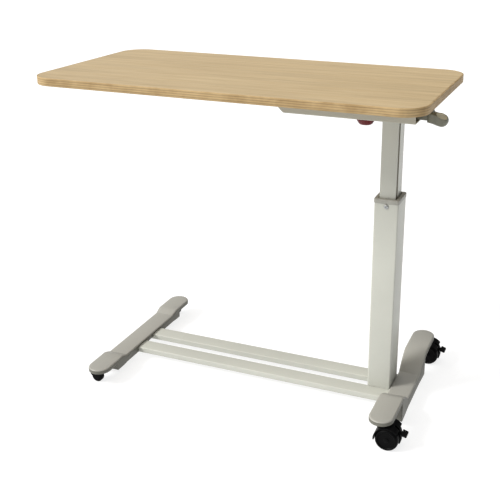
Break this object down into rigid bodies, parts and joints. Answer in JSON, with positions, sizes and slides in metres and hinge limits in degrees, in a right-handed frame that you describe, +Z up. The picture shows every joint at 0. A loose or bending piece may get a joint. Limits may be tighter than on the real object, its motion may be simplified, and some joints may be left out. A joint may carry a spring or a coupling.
{
  "type": "overbed table",
  "caption": "Height-adjustable overbed table: rectangular wood-look top on a gas-spring column near its end, above an H-shaped base with swivel casters.",
  "frame": {"origin": "centre of the footprint, on the floor, under the middle of the object's box", "axes": "+Z up; +X along the top's long side towards the column and the lever; +Y from the front edge to the back"},
  "size_m": [0.804, 0.411, 0.675],
  "materials": {
    "oak_laminate": "pale oak woodgrain laminate, satin",
    "edge_band_plastic": "layered wood-look edge band, satin",
    "light_grey_paint": "off-white powder coat, satin",
    "mid_grey_paint": "light grey powder coat, fine texture",
    "grey_plastic": "moulded grey plastic",
    "zinc_steel": "zinc-plated steel",
    "chrome_steel": "polished chrome",
    "black_paint": "black paint, semi-gloss",
    "red_plastic": "red moulded plastic",
    "dark_grey_plastic": "grey moulded plastic",
    "black_plastic": "black moulded nylon"
  },
  "bodies": {
    "base": {"front_rail": "light_grey_paint", "rear_rail": "light_grey_paint", "left_foot": "mid_grey_paint", "right_foot": "mid_grey_paint", "outer_column": "light_grey_paint", "column_base_plate": "zinc_steel", "column_collar": "grey_plastic", "collar_screw": "zinc_steel", "gas_cylinder": "black_paint", "cylinder_nut": "zinc_steel", "stem_right_front": "zinc_steel", "stem_right_rear": "zinc_steel", "stem_left_front": "zinc_steel", "stem_left_rear": "zinc_steel", "stem_nut_right_front": "zinc_steel", "stem_nut_right_rear": "zinc_steel", "stem_nut_left_front": "zinc_steel", "stem_nut_left_rear": "zinc_steel"},
    "lift": {"inner_column": "light_grey_paint", "slide_shoe": "grey_plastic", "bracket_channel": "light_grey_paint", "head_plate": "zinc_steel", "edge_band": "edge_band_plastic", "tabletop_panel": "oak_laminate", "panel_screw_1": "zinc_steel", "panel_screw_2": "zinc_steel", "panel_screw_3": "zinc_steel", "panel_screw_4": "zinc_steel", "gas_rod": "chrome_steel", "gas_piston": "grey_plastic", "rod_nut": "zinc_steel", "lever_pin": "zinc_steel", "knob_nut": "zinc_steel"},
    "lever": {"lever_arm": "dark_grey_plastic", "lever_grip": "dark_grey_plastic"},
    "valve": {"valve_pin": "zinc_steel"},
    "knob": {"lock_knob": "red_plastic", "knob_stud": "zinc_steel"},
    "swivel_right_front": {"housing_right_front": "black_plastic", "axle_right_front": "zinc_steel", "pedal_pin_right_front": "zinc_steel"},
    "wheel_right_front_a": {"wheel_right_front_a": "black_plastic"},
    "wheel_right_front_b": {"wheel_right_front_b": "black_plastic"},
    "pedal_right_front": {"pedal_right_front": "black_plastic"},
    "swivel_right_rear": {"housing_right_rear": "black_plastic", "axle_right_rear": "zinc_steel", "pedal_pin_right_rear": "zinc_steel"},
    "wheel_right_rear_a": {"wheel_right_rear_a": "black_plastic"},
    "wheel_right_rear_b": {"wheel_right_rear_b": "black_plastic"},
    "pedal_right_rear": {"pedal_right_rear": "black_plastic"},
    "swivel_left_front": {"fork_left_front": "black_plastic", "axle_left_front": "zinc_steel"},
    "wheel_left_front": {"wheel_left_front": "black_plastic"},
    "swivel_left_rear": {"fork_left_rear": "black_plastic", "axle_left_rear": "zinc_steel"},
    "wheel_left_rear": {"wheel_left_rear": "black_plastic"}
  },
  "joints": [
    {"name": "column_height", "type": "slide", "parent": "base", "child": "lift", "axis": [0, 0, 1], "range_m": [-0.15, 0.15]},
    {"name": "release_lever", "type": "hinge", "parent": "lift", "child": "lever", "pos_m": [0.3325, 0.0055, 0.633], "axis": [0, -1, 0], "range_deg": [0, 5.5], "stiffness_Nm_per_rad": 10, "springref_deg": -4.58},
    {"name": "valve_press", "type": "slide", "parent": "lift", "child": "valve", "axis": [0, 0, -1], "range_m": [0, 0.004]},
    {"name": "knob_turn", "type": "hinge", "parent": "lift", "child": "knob", "pos_m": [0.24, 0.0055, 0.5925], "axis": [0, 0, 1], "range_deg": [-180, 180]},
    {"name": "swivel_right_front", "type": "hinge", "parent": "base", "child": "swivel_right_front", "pos_m": [0.346, -0.18075, 0.051], "axis": [0, 0, 1], "continuous": true},
    {"name": "roll_right_front_a", "type": "hinge", "parent": "swivel_right_front", "child": "wheel_right_front_a", "pos_m": [0.362, -0.18075, 0.0235], "axis": [0, 1, 0], "continuous": true},
    {"name": "roll_right_front_b", "type": "hinge", "parent": "swivel_right_front", "child": "wheel_right_front_b", "pos_m": [0.362, -0.18075, 0.0235], "axis": [0, 1, 0], "continuous": true},
    {"name": "brake_right_front", "type": "hinge", "parent": "swivel_right_front", "child": "pedal_right_front", "pos_m": [0.379, -0.18075, 0.035], "axis": [0, -1, 0], "range_deg": [0, 18]},
    {"name": "swivel_right_rear", "type": "hinge", "parent": "base", "child": "swivel_right_rear", "pos_m": [0.346, 0.17775, 0.051], "axis": [0, 0, 1], "continuous": true},
    {"name": "roll_right_rear_a", "type": "hinge", "parent": "swivel_right_rear", "child": "wheel_right_rear_a", "pos_m": [0.362, 0.17775, 0.0235], "axis": [0, 1, 0], "continuous": true},
    {"name": "roll_right_rear_b", "type": "hinge", "parent": "swivel_right_rear", "child": "wheel_right_rear_b", "pos_m": [0.362, 0.17775, 0.0235], "axis": [0, 1, 0], "continuous": true},
    {"name": "brake_right_rear", "type": "hinge", "parent": "swivel_right_rear", "child": "pedal_right_rear", "pos_m": [0.379, 0.17775, 0.035], "axis": [0, -1, 0], "range_deg": [0, 18]},
    {"name": "swivel_left_front", "type": "hinge", "parent": "base", "child": "swivel_left_front", "pos_m": [-0.298, -0.18075, 0.029], "axis": [0, 0, 1], "continuous": true},
    {"name": "roll_left_front", "type": "hinge", "parent": "swivel_left_front", "child": "wheel_left_front", "pos_m": [-0.305, -0.18075, 0.0125], "axis": [0, 1, 0], "continuous": true},
    {"name": "swivel_left_rear", "type": "hinge", "parent": "base", "child": "swivel_left_rear", "pos_m": [-0.298, 0.17775, 0.029], "axis": [0, 0, 1], "continuous": true},
    {"name": "roll_left_rear", "type": "hinge", "parent": "swivel_left_rear", "child": "wheel_left_rear", "pos_m": [-0.305, 0.17775, 0.0125], "axis": [0, 1, 0], "continuous": true}
  ],
  "couplings": [
    {"joint": "valve_press", "follows": "release_lever", "m_per_rad": 0.0375}
  ]
}
